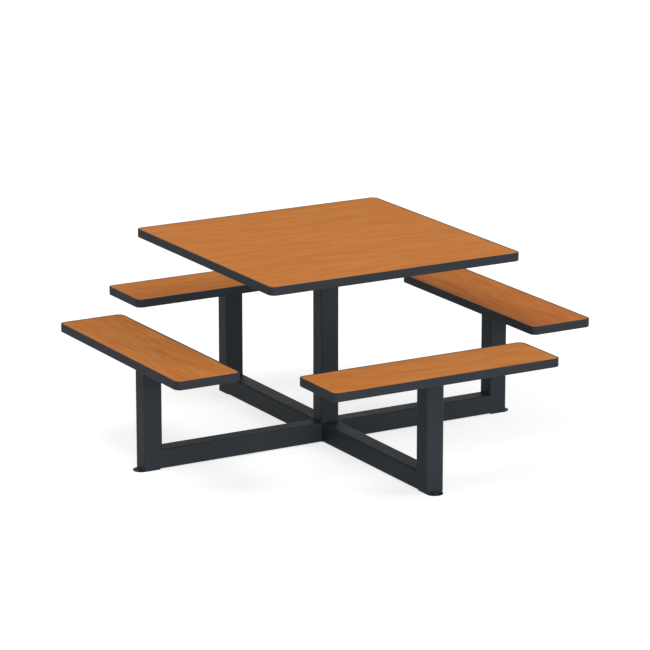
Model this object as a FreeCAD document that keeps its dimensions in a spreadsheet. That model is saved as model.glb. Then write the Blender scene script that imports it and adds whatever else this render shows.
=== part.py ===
import FreeCAD, Part
import math
import os
import Sketcher
from FreeCAD import Rotation, Vector

# Square canteen table with four benches on one welded tube frame. Lengths are in millimetres.
# The origin is on the floor under the column's axis, +Z is up, and +X and +Y run square to the
# table's edges. Each side of the table (right, back, left, front) has the same arm, post and bench,
# drawn once with the arm along +X and then turned about Z.

sizes = {
    # boards: face sheet, core and balancing sheet, with an edge moulding all round
    "table_side": 1000.0,
    "table_height": 735.0,
    "bench_length": 900.0,
    "bench_width": 250.0,
    "bench_height": 440.0,
    "bench_offset": 711.0,
    "laminate_thickness": 1.0,
    "core_thickness": 28.0,
    "backing_thickness": 1.0,
    "corner_radius": 25.0,
    # edge moulding: a flat band with a barbed stem that is driven into grooves in the core
    "edge_thickness": 4.0,
    "stem_thickness": 2.0,
    "stem_length": 9.0,
    "barb_height": 0.6,
    "barb_pitch": 2.4,
    "groove_clearance": 0.1,
    "groove_spare_depth": 1.5,
    "edge_joint_gap": 0.4,
    # frame tube
    "tube_width": 70.0,
    "tube_wall": 4.0,
    "tube_radius": 8.0,
    "cap_thickness": 4.0,
    # foot plates: tongues under the arm ends, half round outside, each with one anchor hole
    "foot_thickness": 3.0,
    "foot_width": 60.0,
    "foot_inset": 7.0,
    "foot_reach": 27.0,
    "anchor_hole": 10.0,
    "anchor_reach": 14.0,
    # plates that the boards are screwed to
    "bench_plate_length": 420.0,
    "bench_plate_width": 120.0,
    "table_plate_side": 400.0,
    "plate_thickness": 6.0,
    "plate_corner_cut": 12.0,
    "weld_leg": 5.0,
    # hexagon head wood screws
    "screw_margin": 18.0,
    "screw_diameter": 6.0,
    "screw_length": 26.0,
    "screw_play": 0.5,
    "thread_play": 0.1,
    "pilot_spare_depth": 2.0,
    "head_width": 10.0,
    "head_height": 4.0,
}

# Screw places on a plate, as multiples of the reach to either side of its centre.
corners_of_plate = [(-1, -1), (-1, 1), (1, -1), (1, 1)]

# The sides follow each other a quarter turn apart, the first with its arm along +X.
sides = ("right", "back", "left", "front")
quarter_turn = 90
barb_count = 3

# Shanks and their holes are drawn with flat sides, which keeps the model light. Heads are hexagons.
shank_side_count = 8
head_side_count = 6

# Places and sizes worked out from the driving sizes.
board_thickness = "(Sizes.laminate_thickness + Sizes.core_thickness + Sizes.backing_thickness)"
table_underside = f"(Sizes.table_height - {board_thickness})"
bench_underside = f"(Sizes.bench_height - {board_thickness})"
column_top = f"({table_underside} - Sizes.plate_thickness)"
post_top = f"({bench_underside} - Sizes.plate_thickness)"
core_radius = "(Sizes.corner_radius - Sizes.edge_thickness)"
tube_half = "(Sizes.tube_width / 2)"
tube_bore = "(Sizes.tube_width - 2 * Sizes.tube_wall)"
tube_flat = "(Sizes.tube_width - 2 * Sizes.tube_radius)"
half_foot = "(Sizes.foot_width / 2)"
half_stem = "(Sizes.stem_thickness / 2)"
half_barb = f"({half_stem} + Sizes.barb_height)"
half_groove = f"({half_barb} + Sizes.groove_clearance)"

doc = FreeCAD.newDocument("FourBenchTable")
pieces = []


def fill_sheet():
    sheet = doc.addObject("Spreadsheet::Sheet", "Sizes")
    for row, (alias, value) in enumerate(sizes.items(), start=1):
        sheet.set(f"A{row}", alias)
        sheet.set(f"B{row}", str(value))
        sheet.setAlias(f"B{row}", alias)
    doc.recompute()


def value_of(text):
    """The present value of an expression."""
    return float(doc.Sizes.evalExpression(text))


# Bodies, sketches and features


def new_body(label, side="right", out="0", up="0"):
    """A body named for its piece, turned to its side, moved out along the arm and up."""
    body = doc.addObject("PartDesign::Body", label)
    body.Label = label
    degrees = sides.index(side) * quarter_turn
    turn = math.radians(degrees)
    body.Placement.Rotation = Rotation(Vector(0, 0, 1), degrees)
    body.setExpression("Placement.Base.x", f"{round(math.cos(turn))} * {out}")
    body.setExpression("Placement.Base.y", f"{round(math.sin(turn))} * {out}")
    body.setExpression("Placement.Base.z", up)
    pieces.append(body)
    return body


def new_sketch(body, name, plane="XY_Plane"):
    """A sketch on one of the body's origin planes."""
    sketch = body.newObject("Sketcher::SketchObject", f"{body.Name}_{name}")
    origin_plane = next(f for f in body.Origin.OriginFeatures if f.Role == plane)
    sketch.AttachmentSupport = [(origin_plane, "")]
    sketch.MapMode = "FlatFace"
    return sketch


def extrude(kind, sketch, length=None, symmetric=False, reverse=False):
    """A pad or pocket of a sketch, in the sketch's body. With no length it goes right through."""
    body = sketch.getParentGeoFeatureGroup()
    feature = body.newObject(f"PartDesign::{kind}", f"{sketch.Name}_{kind.lower()}")
    feature.Profile = sketch
    feature.Reversed = reverse
    if symmetric:
        feature.SideType = "Symmetric"
    if length:
        feature.setExpression("Length", length)
    else:
        feature.Type = "ThroughAll"


def bind(sketch, kind, *elements, to):
    """A dimension of the sketch, driven by an expression."""
    index = sketch.addConstraint(Sketcher.Constraint(kind, *elements, value_of(to)))
    sketch.setExpression(f"Constraints[{index}]", to)


def draw_outline(sketch, corners):
    """A closed outline of straight lines through corners given as (x, y) expressions."""
    points = [Vector(value_of(x), value_of(y), 0) for x, y in corners]
    lines = [
        sketch.addGeometry(Part.LineSegment(start, end), False)
        for start, end in zip(points, points[1:] + points[:1])
    ]
    for line, after in zip(lines, lines[1:] + lines[:1]):
        sketch.addConstraint(Sketcher.Constraint("Coincident", line, 2, after, 1))
    for line, (x, y) in zip(lines, corners):
        bind(sketch, "DistanceX", -1, 1, line, 1, to=x)
        bind(sketch, "DistanceY", -1, 1, line, 1, to=y)


def draw_box(sketch, span_x, span_y, x="0", y="0"):
    """A rectangle about a centre."""
    steps = ((-1, -1), (1, -1), (1, 1), (-1, 1))
    draw_outline(sketch, [(f"{x} + {i} * {span_x} / 2", f"{y} + {j} * {span_y} / 2") for i, j in steps])


def draw_hole(sketch, x, diameter):
    """A circle with its centre on the sketch's x axis."""
    circle = Part.Circle(Vector(value_of(x), 0, 0), Vector(0, 0, 1), value_of(diameter) / 2)
    hole = sketch.addGeometry(circle, False)
    sketch.addConstraint(Sketcher.Constraint("PointOnObject", hole, 3, -1))
    bind(sketch, "DistanceX", -1, 1, hole, 3, to=x)
    bind(sketch, "Diameter", hole, to=diameter)


def draw_rounded(sketch, span_x, span_y, radius):
    """A rectangle with four equal rounded corners, centred on the sketch's origin."""
    r = value_of(radius)
    inset_x = value_of(span_x) / 2 - r
    inset_y = value_of(span_y) / 2 - r
    turn = math.radians(quarter_turn)
    arcs = []
    for number, (x, y) in enumerate(((1, 1), (-1, 1), (-1, -1), (1, -1))):
        circle = Part.Circle(Vector(x * inset_x, y * inset_y, 0), Vector(0, 0, 1), r)
        arc = Part.ArcOfCircle(circle, number * turn, (number + 1) * turn)
        arcs.append(sketch.addGeometry(arc, False))
    for number, (arc, after) in enumerate(zip(arcs, arcs[1:] + arcs[:1])):
        ends = Part.LineSegment(sketch.getPoint(arc, 2), sketch.getPoint(after, 1))
        line = sketch.addGeometry(ends, False)
        sketch.addConstraint(Sketcher.Constraint("Tangent", arc, 2, line, 1))
        sketch.addConstraint(Sketcher.Constraint("Tangent", line, 2, after, 1))
        direction = "Vertical" if number % 2 else "Horizontal"
        sketch.addConstraint(Sketcher.Constraint(direction, line))
    for arc in arcs[1:]:
        sketch.addConstraint(Sketcher.Constraint("Equal", arcs[0], arc))
    sketch.addConstraint(Sketcher.Constraint("Symmetric", arcs[0], 3, arcs[2], 3, -1, 1))
    bind(sketch, "Radius", arcs[0], to=radius)
    bind(sketch, "DistanceX", arcs[1], 2, arcs[0], 1, to=span_x)
    bind(sketch, "DistanceY", arcs[2], 2, arcs[1], 1, to=span_y)


def draw_prisms(sketch, places, side_count, across):
    """Equal regular polygons, as wide as given between opposite sides, one at each place."""
    step = 4 * quarter_turn / side_count
    rim = f"{across} / 2 / cos({step / 2} deg)"
    angles = [(number + 0.5) * step for number in range(side_count)]
    for x, y in places:
        draw_outline(
            sketch, [(f"{x} + {rim} * cos({a} deg)", f"{y} + {rim} * sin({a} deg)") for a in angles]
        )


def run_along_edges(body, kind, name, span_x, span_y, section, length_less):
    """Pads or pockets a section along the middle of all four edges of a rectangle.

    The section gives corners for an edge at a distance and a sign: how far out the edge lies from
    the centre, and on which side.
    """
    for plane, across, along in (("XZ_Plane", span_x, span_y), ("YZ_Plane", span_y, span_x)):
        sketch = new_sketch(body, f"{name}_{plane[0].lower()}", plane=plane)
        for sign in (-1, 1):
            draw_outline(sketch, section(f"{across} / 2", sign))
        extrude(kind, sketch, f"{along} - {length_less}", symmetric=True)


# Boards


def inside_edge(span):
    """What the edge moulding leaves of a board's length or width."""
    return f"({span} - 2 * Sizes.edge_thickness)"


def groove_section(edge, sign):
    """The groove's rectangle, open at the core's edge."""
    floor = f"{sign} * ({edge} - Sizes.stem_length - Sizes.groove_spare_depth)"
    mouth = f"{sign} * {edge}"
    middle = "Sizes.core_thickness / 2"
    low = f"{middle} - {half_groove}"
    high = f"{middle} + {half_groove}"
    return [(floor, low), (mouth, low), (mouth, high), (floor, high)]


def stem_section(edge, sign):
    """The stem's saw-tooth, from its root in the band to its tip."""
    root = f"{sign} * {edge}"
    steps = [
        f"{sign} * ({edge} - Sizes.stem_length + {number} * Sizes.barb_pitch)"
        for number in range(barb_count, -1, -1)
    ]
    upper = [(root, half_stem), (steps[0], half_stem)]
    for back, tip in zip(steps, steps[1:]):
        upper += [(back, half_barb), (tip, half_stem)]
    return upper + [(x, f"-{y}") for x, y in reversed(upper)]


def make_core(name, span_x, span_y, places, **place):
    """The board's core, grooved for the moulding's stems and bored for the screws."""
    body = new_body(f"{name}_core", **place)
    core_x, core_y = inside_edge(span_x), inside_edge(span_y)
    outline = new_sketch(body, "outline")
    draw_rounded(outline, core_x, core_y, core_radius)
    extrude("Pad", outline, "Sizes.core_thickness")
    run_along_edges(body, "Pocket", "groove", core_x, core_y, groove_section, f"2 * {core_radius}")
    pilots = new_sketch(body, "pilots")
    draw_prisms(pilots, places, shank_side_count, "(Sizes.screw_diameter + 2 * Sizes.thread_play)")
    below_core = "(Sizes.plate_thickness + Sizes.backing_thickness)"
    depth = f"Sizes.screw_length - {below_core} + Sizes.pilot_spare_depth"
    extrude("Pocket", pilots, depth, reverse=True)


def make_sheet(name, span_x, span_y, thickness, places=(), **place):
    """A face or balancing sheet with the core's outline, holed where screws pass it."""
    body = new_body(name, **place)
    outline = new_sketch(body, "outline")
    draw_rounded(outline, inside_edge(span_x), inside_edge(span_y), core_radius)
    draw_prisms(outline, places, shank_side_count, "(Sizes.screw_diameter + 2 * Sizes.thread_play)")
    extrude("Pad", outline, thickness)


def make_edge(name, span_x, span_y, **place):
    """The edge moulding. Its band goes round the corners, where its stem is cut away so that it
    bends, and its two ends butt at the middle of one side."""
    body = new_body(f"{name}_edge", **place)
    core_x, core_y = inside_edge(span_x), inside_edge(span_y)
    band = new_sketch(body, "band")
    draw_rounded(band, span_x, span_y, "Sizes.corner_radius")
    draw_rounded(band, core_x, core_y, core_radius)
    extrude("Pad", band, board_thickness, symmetric=True)
    stem_cut = f"2 * ({core_radius} + Sizes.groove_clearance)"
    run_along_edges(body, "Pad", "stem", core_x, core_y, stem_section, stem_cut)
    joint = new_sketch(body, "joint")
    draw_box(joint, span_x, "Sizes.edge_joint_gap", x=f"-{span_x} / 2")
    extrude("Pocket", joint, symmetric=True)


def make_screws(name, places, **place):
    """Hexagon head screws: heads under the plate, shanks up through it into the core."""
    body = new_body(f"{name}_screws", **place)
    heads = new_sketch(body, "heads")
    draw_prisms(heads, places, head_side_count, "Sizes.head_width")
    extrude("Pad", heads, "Sizes.head_height", reverse=True)
    shanks = new_sketch(body, "shanks")
    draw_prisms(shanks, places, shank_side_count, "Sizes.screw_diameter")
    extrude("Pad", shanks, "Sizes.screw_length")


def make_board(name, span_x, span_y, underside, places, **place):
    """A board with its edge moulding and the screws that hold it to its plate."""
    above_backing = f"{underside} + Sizes.backing_thickness"
    above_core = f"{above_backing} + Sizes.core_thickness"
    middle = f"{underside} + {board_thickness} / 2"
    below_plate = f"{underside} - Sizes.plate_thickness"
    make_core(name, span_x, span_y, places, up=above_backing, **place)
    make_sheet(f"{name}_laminate", span_x, span_y, "Sizes.laminate_thickness", up=above_core, **place)
    backing = "Sizes.backing_thickness"
    make_sheet(f"{name}_backing", span_x, span_y, backing, places, up=underside, **place)
    make_edge(name, span_x, span_y, up=middle, **place)
    make_screws(name, places, up=below_plate, **place)


# Frame


def tube(body, plane, length):
    """A length of square tube with rounded outer corners, from the body's origin."""
    section = new_sketch(body, "section", plane=plane)
    draw_rounded(section, "Sizes.tube_width", "Sizes.tube_width", "Sizes.tube_radius")
    draw_box(section, tube_bore, tube_bore)
    extrude("Pad", section, length)


def cut_through(body, name, plane, corners):
    """Cuts an outline right through the body, both ways from the plane."""
    sketch = new_sketch(body, name, plane=plane)
    draw_outline(sketch, corners)
    extrude("Pocket", sketch, symmetric=True)


def make_column():
    """The upright tube, standing on the level of the arms' undersides."""
    body = new_body("column", up="Sizes.foot_thickness")
    tube(body, "XY_Plane", f"{column_top} - Sizes.foot_thickness")


def make_cap():
    """The plate welded into the column's open foot."""
    body = new_body("column_cap", up="Sizes.foot_thickness")
    outline = new_sketch(body, "outline")
    draw_box(outline, tube_bore, tube_bore)
    extrude("Pad", outline, "Sizes.cap_thickness")


def make_arm(side):
    """A floor arm: mitred to the arms beside it, coped round the column, mitred to its post."""
    body = new_body(f"arm_{side}", side=side, up=f"Sizes.foot_thickness + {tube_half}")
    tube(body, "YZ_Plane", f"Sizes.bench_offset + {tube_half}")
    over = "Sizes.tube_width"
    behind = [(f"-{over}", over), (f"-{over}", f"-{over}")]
    cut_through(body, "hub", "XY_Plane", [("0", "0"), (over, over), *behind, (over, f"-{over}")])
    cope = new_sketch(body, "cope")
    draw_rounded(cope, "Sizes.tube_width", "Sizes.tube_width", "Sizes.tube_radius")
    extrude("Pocket", cope, symmetric=True)
    near = f"(Sizes.bench_offset - {over})"
    far = f"(Sizes.bench_offset + {over})"
    cut_through(body, "mitre", "XZ_Plane", [(near, over), (far, f"-{over}"), (far, over)])


def make_post(side):
    """A bench post, mitred to its arm at the foot."""
    body = new_body(f"post_{side}", side=side, out="Sizes.bench_offset", up="Sizes.foot_thickness")
    tube(body, "XY_Plane", f"{post_top} - Sizes.foot_thickness")
    over = "Sizes.tube_width"
    high = f"({tube_half} + {over})"
    low = f"({tube_half} - {over})"
    cut_through(body, "mitre", "XZ_Plane", [(f"-{over}", high), (f"-{over}", low), (over, low)])


def draw_tongue(sketch):
    """A strip from just inside the post's inner face to a half-round nose past its outer face."""
    start = f"(Sizes.foot_inset - {tube_half})"
    centre = f"({tube_half} + Sizes.foot_reach - {half_foot})"
    half, inner, outer = value_of(half_foot), value_of(start), value_of(centre)
    corners = ((outer, half), (inner, half), (inner, -half), (outer, -half))
    points = [Vector(x, y, 0) for x, y in corners]
    top, end, bottom = (
        sketch.addGeometry(Part.LineSegment(a, b), False) for a, b in zip(points, points[1:])
    )
    circle = Part.Circle(Vector(outer, 0, 0), Vector(0, 0, 1), half)
    turn = math.radians(quarter_turn)
    nose = sketch.addGeometry(Part.ArcOfCircle(circle, -turn, turn), False)
    sketch.addConstraint(Sketcher.Constraint("Coincident", top, 2, end, 1))
    sketch.addConstraint(Sketcher.Constraint("Coincident", end, 2, bottom, 1))
    sketch.addConstraint(Sketcher.Constraint("Tangent", bottom, 2, nose, 1))
    sketch.addConstraint(Sketcher.Constraint("Tangent", nose, 2, top, 1))
    sketch.addConstraint(Sketcher.Constraint("Horizontal", top))
    sketch.addConstraint(Sketcher.Constraint("Vertical", end))
    sketch.addConstraint(Sketcher.Constraint("PointOnObject", nose, 3, -1))
    bind(sketch, "Radius", nose, to=half_foot)
    bind(sketch, "DistanceX", -1, 1, nose, 3, to=centre)
    bind(sketch, "DistanceX", -1, 1, end, 1, to=start)


def make_foot_plate(side):
    """A tongue under the arm's end, with a weld run up the post and a hole for an anchor."""
    body = new_body(f"foot_plate_{side}", side=side, out="Sizes.bench_offset")
    tongue = new_sketch(body, "tongue")
    draw_tongue(tongue)
    draw_hole(tongue, f"{tube_half} + Sizes.anchor_reach", "Sizes.anchor_hole")
    extrude("Pad", tongue, "Sizes.foot_thickness")
    weld = new_sketch(body, "weld", plane="XZ_Plane")
    toe = f"{tube_half} + Sizes.weld_leg"
    crown = "Sizes.foot_thickness + Sizes.weld_leg"
    draw_outline(
        weld, [(tube_half, "Sizes.foot_thickness"), (toe, "Sizes.foot_thickness"), (tube_half, crown)]
    )
    extrude("Pad", weld, tube_flat, symmetric=True)


def weld_section(edge, sign):
    """A triangular weld run in the angle under a plate, against one flat of the tube."""
    face = f"{sign} * {edge}"
    toe = f"{sign} * ({edge} + Sizes.weld_leg)"
    return [(face, "0"), (toe, "0"), (face, "-Sizes.weld_leg")]


def make_plate(name, span_x, span_y, places, **place):
    """A screw plate on top of a tube, with its corners cut off and the weld runs below it."""
    body = new_body(name, **place)
    outline = new_sketch(body, "outline")
    corners = []
    for i, j in ((1, 1), (-1, 1), (-1, -1), (1, -1)):
        x, y = f"{i} * {span_x} / 2", f"{j} * {span_y} / 2"
        cut = [(f"{x} - {i} * Sizes.plate_corner_cut", y), (x, f"{y} - {j} * Sizes.plate_corner_cut")]
        corners += reversed(cut) if i * j > 0 else cut
    draw_outline(outline, corners)
    draw_prisms(outline, places, shank_side_count, "(Sizes.screw_diameter + 2 * Sizes.screw_play)")
    extrude("Pad", outline, "Sizes.plate_thickness")
    width = "Sizes.tube_width"
    run_along_edges(body, "Pad", "weld", width, width, weld_section, "2 * Sizes.tube_radius")


# The table and its four sides


def screw_places(span_x, span_y):
    """Screw places near the corners of a plate."""
    reach_x = f"({span_x} / 2 - Sizes.screw_margin)"
    reach_y = f"({span_y} / 2 - Sizes.screw_margin)"
    return [(f"{i} * {reach_x}", f"{j} * {reach_y}") for i, j in corners_of_plate]


def make_table():
    """The table top on its plate. It is turned so that the moulding's joint faces right."""
    span = "Sizes.table_side"
    plate_span = "Sizes.table_plate_side"
    places = screw_places(plate_span, plate_span)
    make_board("table", span, span, table_underside, places, side="left")
    make_plate("table_plate", plate_span, plate_span, places, up=column_top)
    make_column()
    make_cap()


def make_side(side):
    """One side of the frame with its bench. The moulding's joint faces the table."""
    plate_spans = ("Sizes.bench_plate_width", "Sizes.bench_plate_length")
    places = screw_places(*plate_spans)
    place = {"side": side, "out": "Sizes.bench_offset"}
    bench_spans = ("Sizes.bench_width", "Sizes.bench_length")
    make_board(f"bench_{side}", *bench_spans, bench_underside, places, **place)
    make_plate(f"bench_plate_{side}", *plate_spans, places, up=post_top, **place)
    make_post(side)
    make_arm(side)
    make_foot_plate(side)


def check_and_write():
    """Every feature must have built and every piece must be solid, then each is written."""
    for feature in doc.Objects:
        if {"Invalid", "Error"} & set(feature.State):
            raise RuntimeError(f"{feature.Name} did not build: {feature.State}")
    for piece in pieces:
        if piece.Shape.isNull() or not piece.Shape.isValid() or not piece.Shape.Solids:
            raise RuntimeError(f"{piece.Label} is not a valid solid")
    os.makedirs("parts", exist_ok=True)
    for piece in pieces:
        piece.Shape.exportStep(f"parts/{piece.Label}.step")


fill_sheet()
make_table()
for side_name in sides:
    make_side(side_name)
doc.recompute()
check_and_write()
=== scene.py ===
import math

import bmesh
import bpy
from mathutils import Matrix, Vector


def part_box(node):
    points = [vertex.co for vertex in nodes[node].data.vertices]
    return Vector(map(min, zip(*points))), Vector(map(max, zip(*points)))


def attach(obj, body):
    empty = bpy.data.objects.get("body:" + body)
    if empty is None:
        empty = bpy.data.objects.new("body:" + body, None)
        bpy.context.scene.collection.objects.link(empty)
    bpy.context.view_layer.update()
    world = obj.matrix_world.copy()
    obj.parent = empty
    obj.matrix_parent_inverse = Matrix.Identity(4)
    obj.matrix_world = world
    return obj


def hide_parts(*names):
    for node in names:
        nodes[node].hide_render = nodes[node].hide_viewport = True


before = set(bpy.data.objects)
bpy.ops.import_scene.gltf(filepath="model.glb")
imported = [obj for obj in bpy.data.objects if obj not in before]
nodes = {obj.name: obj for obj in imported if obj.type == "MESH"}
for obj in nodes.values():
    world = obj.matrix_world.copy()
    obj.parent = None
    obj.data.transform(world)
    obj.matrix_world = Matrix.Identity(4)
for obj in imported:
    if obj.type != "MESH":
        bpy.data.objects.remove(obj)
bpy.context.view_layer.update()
scene = bpy.context.scene
scene.view_settings.view_transform = "Standard"
print("frame loaded:", len(nodes), "nodes")

# Quarter turns that bring a side's arm from +X to its place.
sideTurns = {"right": 0, "back": 1, "left": 2, "front": 3}

# Sizes that several pieces share. All lengths here are in metres.
frameSizes = {
    "tubeWidth": 0.070,
    "tubeWall": 0.004,
    "tubeRadius": 0.008,
    "tubeCornerSteps": 12,
    "offsets": {"table": 0.0, "bench": 0.711},  # from the column's axis to a board's middle
    "footThickness": 0.003,
    "plateRimSteps": 2,
    "plateSpans": {"table": (0.400, 0.400), "bench": (0.120, 0.420)},
    "screwMargin": 0.018,  # from a plate's edge to the middle of its screws
}
tubeHalf = frameSizes["tubeWidth"] / 2
armAxis = frameSizes["footThickness"] + tubeHalf
benchOffset = frameSizes["offsets"]["bench"]


cameraValues = {
    "target": (0.0506, 0.0930, 0.3957),
    "azimuth": -30.0,  # degrees, from -Y towards +X
    "elevation": 15.0,
    "distance": 12.967,
    "lens": 200.0,  # millimetres
    "sensor": 36.0,
}


def addCamera():
    azimuth = math.radians(cameraValues["azimuth"])
    elevation = math.radians(cameraValues["elevation"])
    back = Vector((
        math.sin(azimuth) * math.cos(elevation),
        -math.cos(azimuth) * math.cos(elevation),
        math.sin(elevation),
    ))
    data = bpy.data.cameras.new("camera")
    data.lens = cameraValues["lens"]
    data.sensor_width = cameraValues["sensor"]
    camera = bpy.data.objects.new("camera", data)
    camera.location = Vector(cameraValues["target"]) + back * cameraValues["distance"]
    camera.rotation_euler = (math.pi / 2 - elevation, 0, azimuth)
    scene.collection.objects.link(camera)
    scene.camera = camera


def mathNode(tree, operation, first, second=None, third=None):
    node = tree.nodes.new("ShaderNodeMath")
    node.operation = operation
    for socket, value in zip(node.inputs, (first, second, third)):
        if value is None:
            continue
        if isinstance(value, (int, float)):
            socket.default_value = value
        else:
            tree.links.new(value, socket)
    return node.outputs[0]


def seenDirectly(tree):
    # 1 for rays from the camera, and for what gloss and glass show of the backdrop
    rays = tree.nodes.new("ShaderNodeLightPath").outputs
    either = mathNode(tree, "MAXIMUM", rays["Is Camera Ray"], rays["Is Glossy Ray"])
    return mathNode(tree, "MAXIMUM", either, rays["Is Transmission Ray"])


def grey(level):
    return (level, level, level, 1)


lightValues = {
    "skyStrength": 0.45,
    "backdropStrength": 1.0,
    "lampAim": (0.0, 0.0, 0.4),
    "lamps": {
        "keyLamp": {"place": (-5.4, -1.1, 11.0), "size": 6.0, "power": 540.0},
        "frontFill": {"place": (-1.0, -11.0, 1.8), "size": 5.0, "power": 850.0},
        "sideFill": {"place": (8.0, -6.4, 8.0), "size": 5.0, "power": 393.0},
    },
}


def addLamp(name, place, size, power):
    data = bpy.data.lights.new(name, "AREA")
    data.shape = "DISK"
    data.size = size
    data.energy = power
    lamp = bpy.data.objects.new(name, data)
    lamp.location = place
    aim = Vector(lightValues["lampAim"]) - Vector(place)
    lamp.rotation_euler = aim.to_track_quat("-Z", "Y").to_euler()
    scene.collection.objects.link(lamp)


def addSky():
    world = bpy.data.worlds.new("studioSky")
    world.use_nodes = True
    scene.world = world
    tree = world.node_tree
    light = tree.nodes["Background"]
    light.inputs["Color"].default_value = grey(1.0)
    light.inputs["Strength"].default_value = lightValues["skyStrength"]
    backdrop = tree.nodes.new("ShaderNodeBackground")
    backdrop.inputs["Color"].default_value = grey(1.0)
    backdrop.inputs["Strength"].default_value = lightValues["backdropStrength"]
    mix = tree.nodes.new("ShaderNodeMixShader")
    tree.links.new(seenDirectly(tree), mix.inputs[0])
    tree.links.new(light.outputs[0], mix.inputs[1])
    tree.links.new(backdrop.outputs[0], mix.inputs[2])
    tree.links.new(mix.outputs[0], tree.nodes["World Output"].inputs["Surface"])


floorValues = {
    "size": 16.0,
    "bounce": 0.96,  # what it throws back on the object
    "roughness": 0.9,
    "specular": 0.0,
    "colour": 0.44,  # the camera sees this colour
    "glow": 0.73,  # and this light on top of it
}


def addFloor():
    values = floorValues
    half = values["size"] / 2
    mesh = bpy.data.meshes.new("floor")
    corners = [(-half, -half, 0), (half, -half, 0), (half, half, 0), (-half, half, 0)]
    mesh.from_pydata(corners, [], [(0, 1, 2, 3)])
    floor = bpy.data.objects.new("floor", mesh)
    scene.collection.objects.link(floor)
    material = bpy.data.materials.new("paleFloor")
    material.use_nodes = True
    tree = material.node_tree
    shader = tree.nodes["Principled BSDF"]
    shader.inputs["Base Color"].default_value = grey(values["bounce"])
    shader.inputs["Roughness"].default_value = values["roughness"]
    shader.inputs["Specular IOR Level"].default_value = values["specular"]
    seen = tree.nodes.new("ShaderNodeBsdfDiffuse")
    seen.inputs["Color"].default_value = grey(values["colour"])
    glow = tree.nodes.new("ShaderNodeEmission")
    glow.inputs["Strength"].default_value = values["glow"]
    add = tree.nodes.new("ShaderNodeAddShader")
    tree.links.new(seen.outputs[0], add.inputs[0])
    tree.links.new(glow.outputs[0], add.inputs[1])
    mix = tree.nodes.new("ShaderNodeMixShader")
    tree.links.new(seenDirectly(tree), mix.inputs[0])
    tree.links.new(shader.outputs[0], mix.inputs[1])
    tree.links.new(add.outputs[0], mix.inputs[2])
    tree.links.new(mix.outputs[0], tree.nodes["Material Output"].inputs["Surface"])
    mesh.materials.append(material)


addCamera()
addSky()
for lampName, lampValues in lightValues["lamps"].items():
    addLamp(lampName, **lampValues)
addFloor()
print("camera, light and floor placed")


# What each finish group puts out, over the surface.
finishOutputs = {
    "Color": "NodeSocketColor",
    "Roughness": "NodeSocketFloat",
    "Height": "NodeSocketFloat",
}


def newGroup(name, inputs):
    group = bpy.data.node_groups.new(name, "ShaderNodeTree")
    for socketName, kind in inputs.items():
        group.interface.new_socket(name=socketName, in_out="INPUT", socket_type=kind)
    for socketName, kind in finishOutputs.items():
        group.interface.new_socket(name=socketName, in_out="OUTPUT", socket_type=kind)
    start = group.nodes.new("NodeGroupInput")
    end = group.nodes.new("NodeGroupOutput")
    return group, start, end


# Noise, and each layer made from it, swings about this between 0 and 1.
noiseMiddle = 0.5


def stretchedNoise(tree, vector, stretch, detail, roughness=0.5, distortion=0.0):
    # noise whose spots are longer where the stretch is smaller
    mapping = tree.nodes.new("ShaderNodeMapping")
    mapping.inputs["Scale"].default_value = stretch
    tree.links.new(vector, mapping.inputs["Vector"])
    noise = tree.nodes.new("ShaderNodeTexNoise")
    noise.inputs["Scale"].default_value = 1.0
    noise.inputs["Detail"].default_value = detail
    noise.inputs["Roughness"].default_value = roughness
    noise.inputs["Distortion"].default_value = distortion
    tree.links.new(mapping.outputs["Vector"], noise.inputs["Vector"])
    return noise.outputs["Fac"]


def remap(tree, value, fromRange, toRange):
    node = tree.nodes.new("ShaderNodeMapRange")
    node.interpolation_type = "SMOOTHSTEP"
    node.inputs["From Min"].default_value = fromRange[0]
    node.inputs["From Max"].default_value = fromRange[1]
    node.inputs["To Min"].default_value = toRange[0]
    node.inputs["To Max"].default_value = toRange[1]
    tree.links.new(value, node.inputs["Value"])
    return node.outputs["Result"]


# A Mix node in its colour mode uses these of its sockets.
mixSockets = {"factor": 0, "first": 6, "second": 7, "result": 2}


def mixColours(tree, factor, first, second):
    node = tree.nodes.new("ShaderNodeMix")
    node.data_type = "RGBA"
    tree.links.new(factor, node.inputs[mixSockets["factor"]])
    tree.links.new(first, node.inputs[mixSockets["first"]])
    tree.links.new(second, node.inputs[mixSockets["second"]])
    return node.outputs[mixSockets["result"]]


grainValues = {
    # noises of the print, each stretched along the grain, across it and through the sheet
    "layers": {
        "bands": {"stretch": (1.4, 15.0, 1.0), "detail": 3.0},
        "figure": {
            "stretch": (0.8, 5.2, 1.0), "detail": 1.5, "roughness": 0.4, "distortion": 0.2},
        "dashes": {"stretch": (8.0, 62.0, 1.0), "detail": 1.5},
        "streaks": {"stretch": (5.5, 150.0, 1.0), "detail": 3.0, "roughness": 0.6},
        "fibres": {"stretch": (38.0, 1500.0, 1.0), "detail": 2.0},
        "pores": {"stretch": (75.0, 2300.0, 1.0), "detail": 1.0},
    },
    "figureRings": 8.0,
    # how much each layer moves the print between its dark and its light colour
    "shares": {
        "bands": 0.28, "figure": 0.13, "dashes": 0.80, "streaks": 0.70, "fibres": 0.30},
    "poreRange": (0.60, 0.72),  # from no pore to a full one
    "poreDepth": 0.30,  # how dark a full pore is
    "fibreRange": (0.30, 0.70),
    "fibreRoughness": (0.72, 0.60),  # at either end of that range
    "fibreHeight": 0.30,  # of a pore's depth
}


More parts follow.
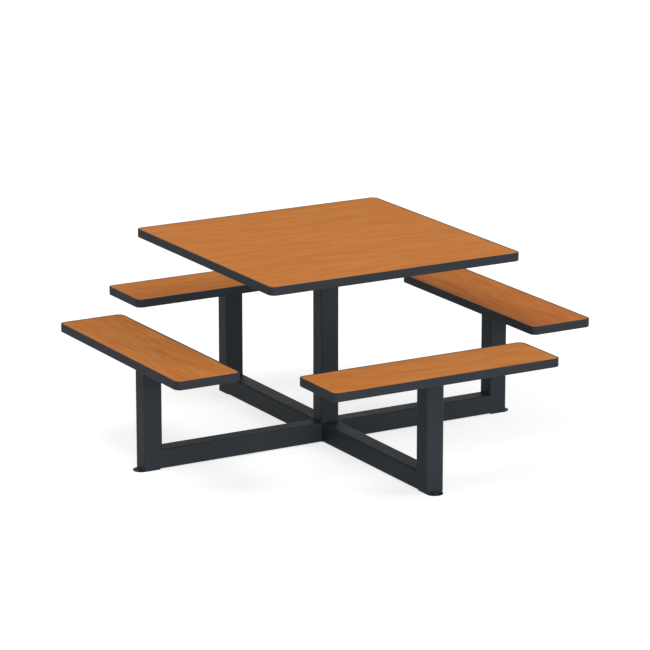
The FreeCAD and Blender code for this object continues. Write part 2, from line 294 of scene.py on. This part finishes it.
def buildGrain():
    # printed wood figure. x of the vector runs along the grain, in metres
    values = grainValues
    group, start, end = newGroup("laminateGrain", {
        "Vector": "NodeSocketVector",
        "Light": "NodeSocketColor",
        "Dark": "NodeSocketColor",
        "Contrast": "NodeSocketFloat",
    })
    layers = {
        name: stretchedNoise(group, start.outputs["Vector"], **noise)
        for name, noise in values["layers"].items()
    }
    angle = mathNode(group, "MULTIPLY", layers["figure"], values["figureRings"] * 2 * math.pi)
    wave = mathNode(group, "SINE", angle)
    layers["figure"] = mathNode(group, "MULTIPLY_ADD", wave, noiseMiddle, noiseMiddle)
    total = None
    for name, share in values["shares"].items():
        swing = mathNode(group, "SUBTRACT", layers[name], noiseMiddle)
        part = mathNode(group, "MULTIPLY", swing, share)
        total = part if total is None else mathNode(group, "ADD", total, part)
    scaled = mathNode(group, "MULTIPLY", total, start.outputs["Contrast"])
    amount = mathNode(group, "ADD", scaled, noiseMiddle)
    figured = mixColours(group, amount, start.outputs["Dark"], start.outputs["Light"])
    pores = remap(group, layers["pores"], values["poreRange"], (0.0, 1.0))
    depth = mathNode(group, "MULTIPLY", pores, values["poreDepth"])
    shaded = mixColours(group, depth, figured, start.outputs["Dark"])
    group.links.new(shaded, end.inputs["Color"])
    roughness = remap(group, layers["fibres"], values["fibreRange"], values["fibreRoughness"])
    group.links.new(roughness, end.inputs["Roughness"])
    fibreHeight = mathNode(group, "MULTIPLY", layers["fibres"], values["fibreHeight"])
    height = mathNode(group, "SUBTRACT", fibreHeight, pores)
    group.links.new(height, end.inputs["Height"])
    return group


skinPattern = {
    "peelDetail": 2.0,
    "clouds": {"stretch": (9.0, 9.0, 9.0), "detail": 4.0, "roughness": 0.6},
    "speckle": {"stretch": (1600.0, 1600.0, 1600.0), "detail": 1.0},
    "speckleShare": 0.6,  # of the clouds' part in the swing of tone
}


def buildSkin():
    # fine skin of a powder coat or a moulding: orange peel, fine sparkle of tone, cloudy gloss
    group, start, end = newGroup("fineSkin", {
        "Vector": "NodeSocketVector",
        "Color": "NodeSocketColor",
        "Peel Scale": "NodeSocketFloat",
        "Tone Swing": "NodeSocketFloat",
        "Gloss Low": "NodeSocketFloat",
        "Gloss High": "NodeSocketFloat",
    })
    vector = start.outputs["Vector"]
    peel = group.nodes.new("ShaderNodeTexNoise")
    peel.inputs["Detail"].default_value = skinPattern["peelDetail"]
    group.links.new(vector, peel.inputs["Vector"])
    group.links.new(start.outputs["Peel Scale"], peel.inputs["Scale"])
    clouds = stretchedNoise(group, vector, **skinPattern["clouds"])
    speckle = stretchedNoise(group, vector, **skinPattern["speckle"])
    cloudSwing = mathNode(group, "SUBTRACT", clouds, noiseMiddle)
    speckleSwing = mathNode(group, "SUBTRACT", speckle, noiseMiddle)
    both = mathNode(
        group, "MULTIPLY_ADD", speckleSwing, skinPattern["speckleShare"], cloudSwing)
    gain = mathNode(group, "MULTIPLY_ADD", both, start.outputs["Tone Swing"], 1.0)
    scaled = group.nodes.new("ShaderNodeVectorMath")
    scaled.operation = "SCALE"
    group.links.new(start.outputs["Color"], scaled.inputs[0])
    group.links.new(gain, scaled.inputs["Scale"])
    group.links.new(scaled.outputs[0], end.inputs["Color"])
    low, high = start.outputs["Gloss Low"], start.outputs["Gloss High"]
    spread = mathNode(group, "SUBTRACT", high, low)
    gloss = mathNode(group, "MULTIPLY_ADD", clouds, spread, low)
    group.links.new(gloss, end.inputs["Roughness"])
    group.links.new(peel.outputs["Fac"], end.inputs["Height"])
    return group


laminateGrain = buildGrain()
fineSkin = buildSkin()

# The curve between plain colour values and linear light.
colourCurve = {"straightEnd": 0.04045, "straightSlope": 12.92, "shift": 0.055, "power": 2.4}


def linearPart(value):
    # linear light of one plain 0 to 255 value
    part = value / 255
    if part <= colourCurve["straightEnd"]:
        return part / colourCurve["straightSlope"]
    shift = colourCurve["shift"]
    return ((part + shift) / (1 + shift)) ** colourCurve["power"]


def startMaterial(name, group, specular, bump, metallic=0.0):
    # a group on a plain shader. bump is its strength and its height in metres
    material = bpy.data.materials.new(name)
    material.use_nodes = True
    tree = material.node_tree
    shader = tree.nodes["Principled BSDF"]
    shader.inputs["Specular IOR Level"].default_value = specular
    shader.inputs["Metallic"].default_value = metallic
    place = tree.nodes.new("ShaderNodeTexCoord")
    effect = tree.nodes.new("ShaderNodeGroup")
    effect.node_tree = group
    relief = tree.nodes.new("ShaderNodeBump")
    relief.inputs["Strength"].default_value = bump[0]
    relief.inputs["Distance"].default_value = bump[1]
    tree.links.new(effect.outputs["Color"], shader.inputs["Base Color"])
    tree.links.new(effect.outputs["Roughness"], shader.inputs["Roughness"])
    tree.links.new(effect.outputs["Height"], relief.inputs["Height"])
    tree.links.new(relief.outputs["Normal"], shader.inputs["Normal"])
    return material, place, effect


laminateValues = {
    "light": (202, 137, 74),
    "dark": (176, 96, 38),
    "specular": 0.02,
    "bump": (0.35, 0.00008),
    # each sheet is cut from its own place in the print, and has its own contrast and colour scale.
    # The side benches' darker scales are painted shade, strongest on the right bench, where the
    # table shades it
    "boards": {
        "table": {
            "offset": (0.0, 0.0, 0.0), "turn": 0, "contrast": 0.80, "tintAndShade": (1.0, 1.0, 1.0)},
        "bench_front": {
            "offset": (3.1, 1.7, 0.4), "turn": 0, "contrast": 0.95, "tintAndShade": (1.0, 1.0, 1.05)},
        "bench_back": {
            "offset": (7.4, 5.2, 0.9), "turn": 0, "contrast": 0.95, "tintAndShade": (1.04, 1.0, 1.0)},
        "bench_left": {
            "offset": (12.3, 8.6, 1.3), "turn": 90, "contrast": 1.15, "tintAndShade": (1.0, 0.98, 0.98)},
        # this bench's darker, redder colour scale is painted shade from the table, not the
        # laminate's own colour
        "bench_right": {
            "offset": (17.8, 3.9, 2.2), "turn": 90, "contrast": 1.15, "tintAndShade": (0.92, 0.85, 0.88)},
    },
}


def makeLaminate(board, offset, turn, contrast, tintAndShade):
    material, place, effect = startMaterial(
        f"{board}_woodLaminate", laminateGrain, laminateValues["specular"], laminateValues["bump"])
    tree = material.node_tree
    mapping = tree.nodes.new("ShaderNodeMapping")
    mapping.inputs["Location"].default_value = offset
    mapping.inputs["Rotation"].default_value = (0, 0, math.radians(turn))
    tree.links.new(place.outputs["Object"], mapping.inputs["Vector"])
    tree.links.new(mapping.outputs["Vector"], effect.inputs["Vector"])
    for socketName, shade in (("Light", "light"), ("Dark", "dark")):
        # the scale multiplies the print's colours, and on the side benches it paints shade into
        # them
        tintedAndShaded = [linearPart(part) * share for part, share in zip(laminateValues[shade], tintAndShade)]
        effect.inputs[socketName].default_value = (*tintedAndShaded, 1)
    effect.inputs["Contrast"].default_value = contrast
    return material


# peel is the scale of the orange peel, swing how far the tone strays, gloss a roughness range
skinValues = {
    "frameCoat": {
        "colour": (38, 43, 47), "peel": 700.0, "swing": 0.16, "gloss": (0.46, 0.58),
        "specular": 0.08, "bump": (0.22, 0.00014),
    },
    "footCoat": {
        "colour": (24, 26, 28), "peel": 700.0, "swing": 0.16, "gloss": (0.44, 0.56),
        "specular": 0.12, "bump": (0.22, 0.00014),
    },
    "edgeMoulding": {
        "colour": (39, 43, 47), "peel": 1300.0, "swing": 0.08, "gloss": (0.50, 0.62),
        "specular": 0.08, "bump": (0.20, 0.00008),
    },
    "backingSheet": {
        "colour": (60, 62, 64), "peel": 1100.0, "swing": 0.12, "gloss": (0.60, 0.72),
        "specular": 0.10, "bump": (0.20, 0.00006),
    },
    "boardCore": {
        "colour": (188, 156, 112), "peel": 260.0, "swing": 0.55, "gloss": (0.80, 0.92),
        "specular": 0.10, "bump": (0.60, 0.00040),
    },
    "screwSteel": {
        "colour": (176, 178, 176), "peel": 1500.0, "swing": 0.12, "gloss": (0.28, 0.42),
        "specular": 0.5, "bump": (0.10, 0.00004), "metallic": 1.0,
    },
}


def makeSkin(name, colour, peel, swing, gloss, specular, bump, metallic=0.0):
    material, place, effect = startMaterial(name, fineSkin, specular, bump, metallic)
    material.node_tree.links.new(place.outputs["Object"], effect.inputs["Vector"])
    effect.inputs["Color"].default_value = (*[linearPart(part) for part in colour], 1)
    effect.inputs["Peel Scale"].default_value = peel
    effect.inputs["Tone Swing"].default_value = swing
    effect.inputs["Gloss Low"].default_value = gloss[0]
    effect.inputs["Gloss High"].default_value = gloss[1]
    return material


materials = {name: makeSkin(name, **values) for name, values in skinValues.items()}
for board, values in laminateValues["boards"].items():
    materials[board] = makeLaminate(board, **values)
print("materials made:", len(materials))


# A shape is a list of points and a list of faces.
def turned(shape, side):
    points, faces = shape
    turn = Matrix.Rotation(sideTurns[side] * math.pi / 2, 3, "Z")
    return [turn @ Vector(point) for point in points], faces


def joined(*shapes):
    points, faces = [], []
    for partPoints, partFaces in shapes:
        start = len(points)
        points += partPoints
        faces += [tuple(start + index for index in face) for face in partFaces]
    return points, faces


def loft(loops, closed=False, capped=False):
    # faces between loops that have the same number of points
    count = len(loops[0])
    points = [point for loop in loops for point in loop]
    faces = []
    for first in range(len(loops) if closed else len(loops) - 1):
        second = (first + 1) % len(loops)
        for number in range(count):
            after = (number + 1) % count
            faces.append((
                first * count + number, first * count + after,
                second * count + after, second * count + number,
            ))
    if capped:
        faces.append(tuple(range(count)))
        faces.append(tuple(range(len(points) - count, len(points))))
    return points, faces


def roundedOutline(spanX, spanY, radius, steps):
    # (x, y, outward x, outward y) round a rectangle with rounded corners, counter-clockwise
    points = []
    for corner, (signX, signY) in enumerate(((1, 1), (-1, 1), (-1, -1), (1, -1))):
        for step in range(steps + 1):
            angle = (corner + step / steps) * math.pi / 2
            outX, outY = math.cos(angle), math.sin(angle)
            x = signX * (spanX / 2 - radius) + radius * outX
            y = signY * (spanY / 2 - radius) + radius * outY
            points.append((x, y, outX, outY))
    return points


meshValues = {
    "mergeDistance": 1e-6,  # points nearer than this become one, so that each shape closes
    "crease": 40,  # edges that turn further than this stay sharp, in degrees
}


def addPiece(name, shape, material, replaced, crease=meshValues["crease"]):
    points, faces = shape
    mesh = bpy.data.meshes.new(name)
    mesh.from_pydata([tuple(point) for point in points], [], faces)
    work = bmesh.new()
    work.from_mesh(mesh)
    bmesh.ops.remove_doubles(work, verts=work.verts, dist=meshValues["mergeDistance"])
    bmesh.ops.recalc_face_normals(work, faces=work.faces)
    work.to_mesh(mesh)
    work.free()
    mesh.shade_smooth()
    mesh.set_sharp_from_angle(angle=math.radians(crease))
    mesh.materials.append(materials[material])
    piece = bpy.data.objects.new(name, mesh)
    scene.collection.objects.link(piece)
    weights = piece.modifiers.new("faceWeights", "WEIGHTED_NORMAL")
    weights.keep_sharp = True
    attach(piece, "root")
    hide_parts(replaced)


def tubeBetween(startAt, endAt, place):
    # both walls of a tube. startAt and endAt give its cut ends over the section, and place
    # brings a point of the section and its distance along the tube to the frame
    wide, wall = frameSizes["tubeWidth"], frameSizes["tubeWall"]
    radius, steps = frameSizes["tubeRadius"], frameSizes["tubeCornerSteps"]
    bore = wide - 2 * wall
    outer = [(a, b) for a, b, _, _ in roundedOutline(wide, wide, radius, steps)]
    inner = [(a, b) for a, b, _, _ in roundedOutline(bore, bore, radius - wall, steps)]
    return loft([
        [place(a, b, startAt(a, b)) for a, b in outer],
        [place(a, b, endAt(a, b)) for a, b in outer],
        [place(a, b, endAt(a, b)) for a, b in inner],
        [place(a, b, startAt(a, b)) for a, b in inner],
    ], closed=True)


def columnFace(across):
    # how far the column's surface stands from its axis, at a distance to one side
    radius = frameSizes["tubeRadius"]
    flat = tubeHalf - radius
    beyond = min(max(abs(across) - flat, 0), radius)
    return flat + math.sqrt(radius ** 2 - beyond ** 2)


def addColumn():
    low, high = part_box("column")
    tube = tubeBetween(lambda a, b: low.z, lambda a, b: high.z, lambda a, b, z: (a, b, z))
    addPiece("middleColumn", tube, "frameCoat", "column")


def addArm(side):
    # cut to the column and to the arms beside it, and mitred at the post
    tube = tubeBetween(
        lambda across, up: max(columnFace(across), abs(across)),
        lambda across, up: benchOffset - up,
        lambda across, up, x: (x, across, armAxis + up),
    )
    addPiece(
        f"floorArm_{side}", turned(tube, side), "frameCoat", f"arm_{side}")


def addPost(side):
    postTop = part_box(f"post_{side}")[1].z
    tube = tubeBetween(
        lambda a, b: armAxis - a, lambda a, b: postTop, lambda a, b, z: (benchOffset + a, b, z))
    addPiece(
        f"benchPost_{side}", turned(tube, side), "frameCoat", f"post_{side}")


addColumn()
for side in sideTurns:
    addArm(side)
    addPost(side)
print("tubes made")


weldValues = {
    "leg": 0.005,
    "hollow": 0.16,  # share of the leg by which the bead's face is drawn in
    "ripple": 0.16,  # share of the leg that the ripples take off
    "pitch": 0.0032,
    "step": 0.0008,
    "sectionSteps": 5,
    "cornerSteps": 16,
    "endSteps": 6,  # steps in which an open bead grows to its full size
    "endShare": 0.25,  # of its section, at its very end
}


def weldBead(path, away, closed):
    # path: (point, outward direction) pairs. The bead lies between the tube and the plate
    values = weldValues
    loops = []
    travelled = 0.0
    for number, (point, out) in enumerate(path):
        if number:
            travelled += (point - path[number - 1][0]).length
        ripple = abs(math.sin(math.pi * travelled / values["pitch"]))
        size = values["leg"] * (1 - values["ripple"] * (1 - ripple))
        if not closed:
            fromEnd = min(number, len(path) - 1 - number) / values["endSteps"]
            size *= math.sqrt(min(1.0, values["endShare"] + fromEnd))
        loop = [point]
        for step in range(values["sectionSteps"] + 1):
            angle = step / values["sectionSteps"] * math.pi / 2
            reach = size * (1 - values["hollow"] * math.sin(2 * angle))
            loop.append(point + out * reach * math.cos(angle) + away * reach * math.sin(angle))
        loops.append(loop)
    return loft(loops, closed=closed, capped=not closed)


def beadUnderPlate(place, height):
    # round the tube that stands under a plate
    wide, radius = frameSizes["tubeWidth"], frameSizes["tubeRadius"]
    outline = roundedOutline(wide, wide, radius, weldValues["cornerSteps"])
    middle = Vector((place, 0, height))
    path = []
    for number, (x, y, outX, outY) in enumerate(outline):
        after = outline[(number + 1) % len(outline)]
        start, end = Vector((x, y, 0)), Vector((after[0], after[1], 0))
        parts = max(1, round((end - start).length / weldValues["step"]))
        for part in range(parts):
            share = part / parts
            out = Vector((outX, outY, 0)).lerp(Vector((after[2], after[3], 0)), share)
            path.append((start.lerp(end, share) + middle, out.normalized()))
    return weldBead(path, Vector((0, 0, -1)), closed=True)


def beadOnFoot(x, halfLength, height):
    # a straight run along the foot of the post's outer face
    start, end = Vector((x, -halfLength, height)), Vector((x, halfLength, height))
    parts = round((end - start).length / weldValues["step"])
    path = [(start.lerp(end, part / parts), Vector((1, 0, 0))) for part in range(parts + 1)]
    return weldBead(path, Vector((0, 0, 1)), closed=False)


def circleOutline(x, y, radius, steps):
    angles = [2 * math.pi * step / steps for step in range(steps)]
    return [(x + radius * math.cos(angle), y + radius * math.sin(angle)) for angle in angles]


def cutPlate(outlines, low, thickness, softened):
    # a plate with softened edges. The first outline is its outside and the others are holes
    curve = bpy.data.curves.new("plateOutline", "CURVE")
    curve.dimensions = "2D"
    curve.fill_mode = "BOTH"
    curve.extrude = thickness / 2 - softened
    curve.bevel_depth = softened
    curve.bevel_resolution = frameSizes["plateRimSteps"]
    curve.offset = -softened
    for outline in outlines:
        spline = curve.splines.new("POLY")
        spline.points.add(len(outline) - 1)
        for point, (x, y) in zip(spline.points, outline):
            point.co = (x, y, 0, 1)
        spline.use_cyclic_u = True
    holder = bpy.data.objects.new("plateOutline", curve)
    mesh = bpy.data.meshes.new_from_object(holder)
    points = [vertex.co + Vector((0, 0, low + thickness / 2)) for vertex in mesh.vertices]
    faces = [tuple(polygon.vertices) for polygon in mesh.polygons]
    bpy.data.objects.remove(holder)
    bpy.data.curves.remove(curve)
    bpy.data.meshes.remove(mesh)
    return points, faces


footPlateValues = {
    "width": 0.060,
    "inset": 0.007,  # from the post's inner face to the plate's inner end
    "reach": 0.027,  # from the post's outer face to the tip of the nose
    "noseSteps": 40,
    "softened": 0.0005,
    "anchorHole": 0.010,
    "anchorReach": 0.014,  # from the post's outer face to the middle of the hole
    "holeSteps": 40,
}


def addFootPlate(side):
    values = footPlateValues
    thickness = frameSizes["footThickness"]
    half = values["width"] / 2
    inner = benchOffset - tubeHalf + values["inset"]
    face = benchOffset + tubeHalf
    middle = face + values["reach"] - half
    outline = [(inner, half), (inner, -half)]
    for step in range(values["noseSteps"] + 1):
        angle = (step / values["noseSteps"] - 0.5) * math.pi
        outline.append((middle + half * math.cos(angle), half * math.sin(angle)))
    hole = circleOutline(
        face + values["anchorReach"], 0, values["anchorHole"] / 2, values["holeSteps"])
    plate = cutPlate([outline, hole], 0.0, thickness, values["softened"])
    bead = beadOnFoot(face, tubeHalf - frameSizes["tubeRadius"], thickness)
    addPiece(
        f"footTongue_{side}", turned(joined(plate, bead), side),
        "footCoat", f"foot_plate_{side}")


def screwPlaces(kind):
    # middles of the four screws of a board's plate
    spanX, spanY = frameSizes["plateSpans"][kind]
    x, y = spanX / 2 - frameSizes["screwMargin"], spanY / 2 - frameSizes["screwMargin"]
    offset = frameSizes["offsets"][kind]
    return [(offset + signX * x, signY * y) for signX in (-1, 1) for signY in (-1, 1)]


screwPlateValues = {
    "thickness": 0.006,
    "cornerCut": 0.012,
    "softened": 0.0006,
    "holeRadius": 0.0035,
    "holeSteps": 24,
}


def addScrewPlate(name, node, kind, side):
    values = screwPlateValues
    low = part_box(node)[1].z - values["thickness"]
    offset, cut = frameSizes["offsets"][kind], values["cornerCut"]
    spanX, spanY = frameSizes["plateSpans"][kind]
    outline = []
    for signX, signY in ((1, 1), (-1, 1), (-1, -1), (1, -1)):
        x, y = signX * spanX / 2, signY * spanY / 2
        ends = [(offset + x, y - signY * cut), (offset + x - signX * cut, y)]
        outline += ends if signX * signY > 0 else ends[::-1]
    holes = [
        circleOutline(x, y, values["holeRadius"], values["holeSteps"])
        for x, y in screwPlaces(kind)
    ]
    plate = cutPlate([outline] + holes, low, values["thickness"], values["softened"])
    shape = joined(plate, beadUnderPlate(offset, low))
    addPiece(name, turned(shape, side), "frameCoat", node)


addScrewPlate("topPlate", "table_plate", "table", "right")
for side in sideTurns:
    addFootPlate(side)
    addScrewPlate(f"seatPlate_{side}", f"bench_plate_{side}", "bench", side)
print("plates and welds made")


screwValues = {
    "headAcross": 0.010,
    "headHeight": 0.004,
    "flangeRadius": 0.0062,
    "flangeHeight": 0.0009,
    "chamferRadius": 0.0048,
    "chamferSlope": 0.5,
    "shankRadius": 0.0030,
    "rootRadius": 0.0022,
    "threadStart": 0.008,
    "threadPitch": 0.0025,
    "rootAt": 0.4,  # of a pitch, from crest to root
    "length": 0.026,
    "tipLength": 0.004,
    "tipShare": 0.1,  # of the root's radius
    "steps": 48,
    "crease": 25,
}


def screwShape(place):
    # head under the plate, threaded shank up into the board
    values = screwValues
    angles = [2 * math.pi * (step + 0.5) / values["steps"] for step in range(values["steps"])]

    def ring(height, radius):
        return [
            place + Vector((radius * math.cos(angle), radius * math.sin(angle), height))
            for angle in angles
        ]

    top, flange = -values["headHeight"], -values["flangeHeight"]
    chamfered, lower = [], []
    for angle in angles:
        fromFlat = (angle % (math.pi / 3)) - math.pi / 6
        radius = values["headAcross"] / 2 / math.cos(fromFlat)
        drop = max(0.0, radius - values["chamferRadius"]) * values["chamferSlope"]
        onHexagon = place + Vector((math.cos(angle), math.sin(angle), 0)) * radius
        chamfered.append(onHexagon + Vector((0, 0, top + drop)))
        lower.append(onHexagon + Vector((0, 0, flange)))
    loops = [
        ring(top, values["chamferRadius"]),
        chamfered,
        lower,
        ring(flange, values["flangeRadius"]),
        ring(0, values["flangeRadius"]),
        ring(0, values["shankRadius"]),
        ring(values["threadStart"], values["shankRadius"]),
    ]
    height, pitch = values["threadStart"], values["threadPitch"]
    threadEnd = values["length"] - values["tipLength"]
    while height + pitch < threadEnd:
        loops.append(ring(height + pitch * values["rootAt"], values["rootRadius"]))
        loops.append(ring(height + pitch, values["shankRadius"]))
        height += pitch
    loops.append(ring(threadEnd, values["rootRadius"]))
    loops.append(ring(values["length"], values["rootRadius"] * values["tipShare"]))
    return loft(loops, capped=True)


def addScrews(name, node, kind, side):
    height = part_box(node)[0].z + screwValues["headHeight"]
    shape = joined(*[screwShape(Vector((x, y, height))) for x, y in screwPlaces(kind)])
    addPiece(
        name, turned(shape, side), "screwSteel", node, crease=screwValues["crease"])


addScrews("topScrews", "table_screws", "table", "right")
for side in sideTurns:
    addScrews(f"seatScrews_{side}", f"bench_{side}_screws", "bench", side)
print("screws made")


edgeValues = {
    "spans": {"table": (1.000, 1.000), "bench": (0.250, 0.900)},
    "thickness": 0.004,
    "cornerRadius": 0.025,
    "cornerSteps": 24,
    "rimRadius": 0.0008,
    "rimSteps": 5,
    "crown": 0.00015,  # how far the band swells at half its height
    "jointGap": 0.0004,
    # the lip with which the band laps over the face sheet
    "lipWidth": 0.0025,
    "lipRise": 0.0004,
    "lipTaper": 0.0004,
    # how far out and up the lower rim is eased
    "lowerRims": {"table": (0.0030, 0.0020), "bench": (0.0036, 0.0030)},
    "crease": 50,
}


def edgeProfile(bottom, sheetTop, lowerRim):
    # (out from the core, up) round the band's section, from the inner bottom corner
    values = edgeValues
    rim, steps, width = values["rimRadius"], values["rimSteps"], values["lipWidth"]
    top = sheetTop + values["lipRise"]
    face = values["thickness"] - values["crown"]
    rimOut, rimUp = lowerRim
    profile = [(0.0, bottom)]
    for step in range(steps + 1):
        angle = (step / steps - 1) * math.pi / 2
        out = face - rimOut + rimOut * math.cos(angle)
        profile.append((out, bottom + rimUp + rimUp * math.sin(angle)))
    profile.append((values["thickness"], (bottom + top) / 2))
    for step in range(steps + 1):
        angle = step / steps * math.pi / 2
        profile.append((face - rim + rim * math.cos(angle), top - rim + rim * math.sin(angle)))
    return profile + [(values["lipTaper"] - width, top), (-width, sheetTop), (0.0, sheetTop)]


def coreOutline(kind):
    thick = edgeValues["thickness"]
    spanX, spanY = edgeValues["spans"][kind]
    radius = edgeValues["cornerRadius"] - thick
    return roundedOutline(spanX - 2 * thick, spanY - 2 * thick, radius, edgeValues["cornerSteps"])


def addTableSheet(name, node):
    # it lies lower by the rise of the lip that laps over it, so that the lip is at full height
    low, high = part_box(node)
    heights = (low.z, high.z - edgeValues["lipRise"])
    outline = coreOutline("table")
    sheet = loft([[(x, y, z) for x, y, _, _ in outline] for z in heights], capped=True)
    addPiece(name, sheet, "table", node)


def addBoardEdge(name, node, kind, side, sheetTop):
    # the band starts and ends at the joint, in the middle of the board's -x side
    values = edgeValues
    profile = edgeProfile(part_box(node)[0].z, sheetTop, values["lowerRims"][kind])
    outline = coreOutline(kind)
    afterJoint = 2 * (values["cornerSteps"] + 1)  # first point past the -x side's middle
    gap = values["jointGap"] / 2
    x = values["thickness"] - values["spans"][kind][0] / 2
    path = [
        (x, -gap, -1.0, 0.0), *outline[afterJoint:], *outline[:afterJoint], (x, gap, -1.0, 0.0)]
    offset = frameSizes["offsets"][kind]
    loops = [
        [(offset + px + outX * out, py + outY * out, up) for out, up in profile]
        for px, py, outX, outY in path
    ]
    addPiece(
        name, turned(loft(loops, capped=True), side),
        "edgeMoulding", node, crease=values["crease"])


addTableSheet("tableFaceSheet", "table_laminate")
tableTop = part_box("table_edge")[1].z - edgeValues["lipRise"]
addBoardEdge("tableEdgeBand", "table_edge", "table", "left", tableTop)
for side in sideTurns:
    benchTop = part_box(f"bench_{side}_edge")[1].z
    addBoardEdge(f"benchEdgeBand_{side}", f"bench_{side}_edge", "bench", side, benchTop)
print("board edges made")


# Finishes of the nodes that keep their own shape.
nodeFinishes = {"column_cap": "frameCoat"}
for board in laminateValues["boards"]:
    nodeFinishes[f"{board}_core"] = "boardCore"
    nodeFinishes[f"{board}_backing"] = "backingSheet"
for side in sideTurns:
    nodeFinishes[f"bench_{side}_laminate"] = f"bench_{side}"
for node, finish in nodeFinishes.items():
    for slot in nodes[node].material_slots:
        slot.material = materials[finish]
print("finishes set on", len(nodeFinishes), "nodes")
